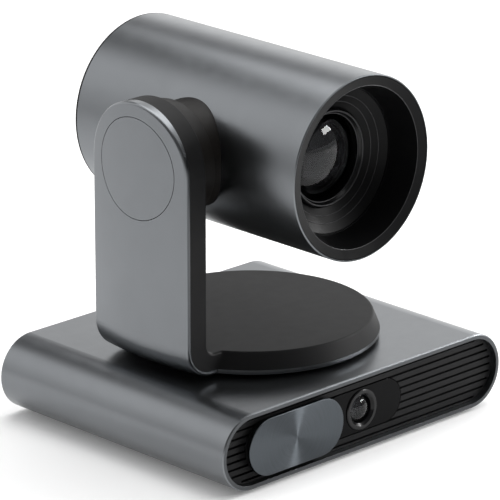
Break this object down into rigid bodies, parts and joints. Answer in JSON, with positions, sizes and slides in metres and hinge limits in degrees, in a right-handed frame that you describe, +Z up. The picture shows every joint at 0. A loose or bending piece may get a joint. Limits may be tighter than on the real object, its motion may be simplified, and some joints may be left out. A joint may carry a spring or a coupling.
{
  "type": "pan-tilt-zoom camera",
  "caption": "Desktop pan-tilt-zoom video camera: a barrel-shaped zoom camera head tilts on the arm of an L-shaped yoke, which turns on a flat, round-sided base with a slatted front.",
  "frame": {"origin": "on the pan axis, at the height of the surface that the feet stand on; the middle of the box's underside", "axes": "+Z up, -Y the way the lens looks at rest, +X to the right seen from the front, so the yoke's arm is at -X"},
  "size_m": [0.18, 0.1504, 0.1768],
  "materials": {
    "anodised_shell": "anodised, satin",
    "dark_cover": "satin",
    "dark_hub": "satin",
    "slat_black": "matte",
    "gloss_black": "gloss",
    "hood_black": "semi-gloss",
    "badge_metal": "brushed",
    "lens_ring_black": "semi-gloss",
    "lens_glass": "clear",
    "rear_black": "matte",
    "foot_rubber": "matte",
    "belt_rubber": "matte",
    "structure_aluminium": "cast",
    "steel": "ground",
    "black_steel": "blackened",
    "brass": "turned",
    "plated_shell": "plated",
    "board_green": "solder mask",
    "carriage_black": "moulded",
    "pulley_white": "moulded"
  },
  "bodies": {
    "base": {"base_shell": "anodised_shell", "rubber_feet": "foot_rubber", "base_chassis": "structure_aluminium", "tripod_insert": "brass", "bracket_inserts": "brass", "base_screws": "black_steel", "front_grille": "slat_black", "window_panel": "gloss_black", "badge_pedestal": "slat_black", "badge_plate": "badge_metal", "overview_lens_ring": "lens_ring_black", "overview_lens_glass": "lens_glass", "overview_lens_barrel": "lens_ring_black", "overview_camera_board": "board_green", "microphone_boards": "board_green", "main_board": "board_green", "io_board": "board_green", "rear_panel": "rear_black", "power_jack": "rear_black", "hdmi_port": "plated_shell", "usb_port": "plated_shell", "lan_port": "plated_shell", "audio_jack": "rear_black", "bearing_pedestal": "structure_aluminium", "pan_bearing_outer_races": "steel", "pan_motor": "structure_aluminium", "pan_belt": "belt_rubber"},
    "reset_key": {"reset_button": "rear_black"},
    "pan_drive": {"pan_motor_pulley": "pulley_white"},
    "yoke": {"yoke_outer_shell": "anodised_shell", "yoke_inner_shell": "dark_cover", "tilt_cap": "anodised_shell", "tilt_hub_cover": "dark_hub", "yoke_frame": "steel", "yoke_screws": "black_steel", "pan_shaft": "steel", "pan_pulley": "pulley_white", "pan_bearing_inner_races": "steel", "tilt_shaft": "steel", "tilt_pulley": "pulley_white", "tilt_bearing_inner_race": "steel"},
    "head": {"barrel_shell": "anodised_shell", "back_cover": "dark_cover", "lens_hood": "hood_black", "front_element": "lens_glass", "lens_front_ring": "lens_ring_black", "lens_housing": "carriage_black", "guide_rods": "steel", "lens_motors": "structure_aluminium", "sensor_board": "board_green", "head_cradle": "structure_aluminium", "head_hub": "dark_hub", "tilt_bearing_outer_race": "steel", "tilt_motor": "structure_aluminium", "tilt_belt": "belt_rubber"},
    "tilt_drive": {"tilt_motor_pulley": "pulley_white"},
    "zoom_group": {"zoom_carriage": "carriage_black", "zoom_lens": "lens_glass"},
    "focus_group": {"focus_carriage": "carriage_black", "focus_lens": "lens_glass"}
  },
  "joints": [
    {"name": "pan", "type": "hinge", "parent": "base", "child": "yoke", "pos_m": [0, 0, 0.0391], "axis": [0, 0, 1], "range_deg": [-170, 170]},
    {"name": "tilt", "type": "hinge", "parent": "yoke", "child": "head", "pos_m": [-0.043, 0, 0.1339], "axis": [-1, 0, 0], "range_deg": [-30, 90]},
    {"name": "pan_motor_spin", "type": "hinge", "parent": "base", "child": "pan_drive", "pos_m": [0.045, 0.025, 0.03], "axis": [0, 0, 1], "range_deg": [-570, 570]},
    {"name": "tilt_motor_spin", "type": "hinge", "parent": "head", "child": "tilt_drive", "pos_m": [-0.033, 0.045, 0.1339], "axis": [-1, 0, 0], "range_deg": [-290, 98]},
    {"name": "zoom_travel", "type": "slide", "parent": "head", "child": "zoom_group", "axis": [0, 1, 0], "range_m": [0, 0.03]},
    {"name": "focus_travel", "type": "slide", "parent": "head", "child": "focus_group", "axis": [0, 1, 0], "range_m": [-0.003, 0.009]},
    {"name": "reset_button_press", "type": "slide", "parent": "base", "child": "reset_key", "axis": [0, -1, 0], "range_m": [0, 0.0008], "stiffness_N_per_m": 800}
  ],
  "couplings": [
    {"joint": "pan_motor_spin", "follows": "pan", "ratio": 3.3333},
    {"joint": "tilt_motor_spin", "follows": "tilt", "ratio": -3.2}
  ]
}
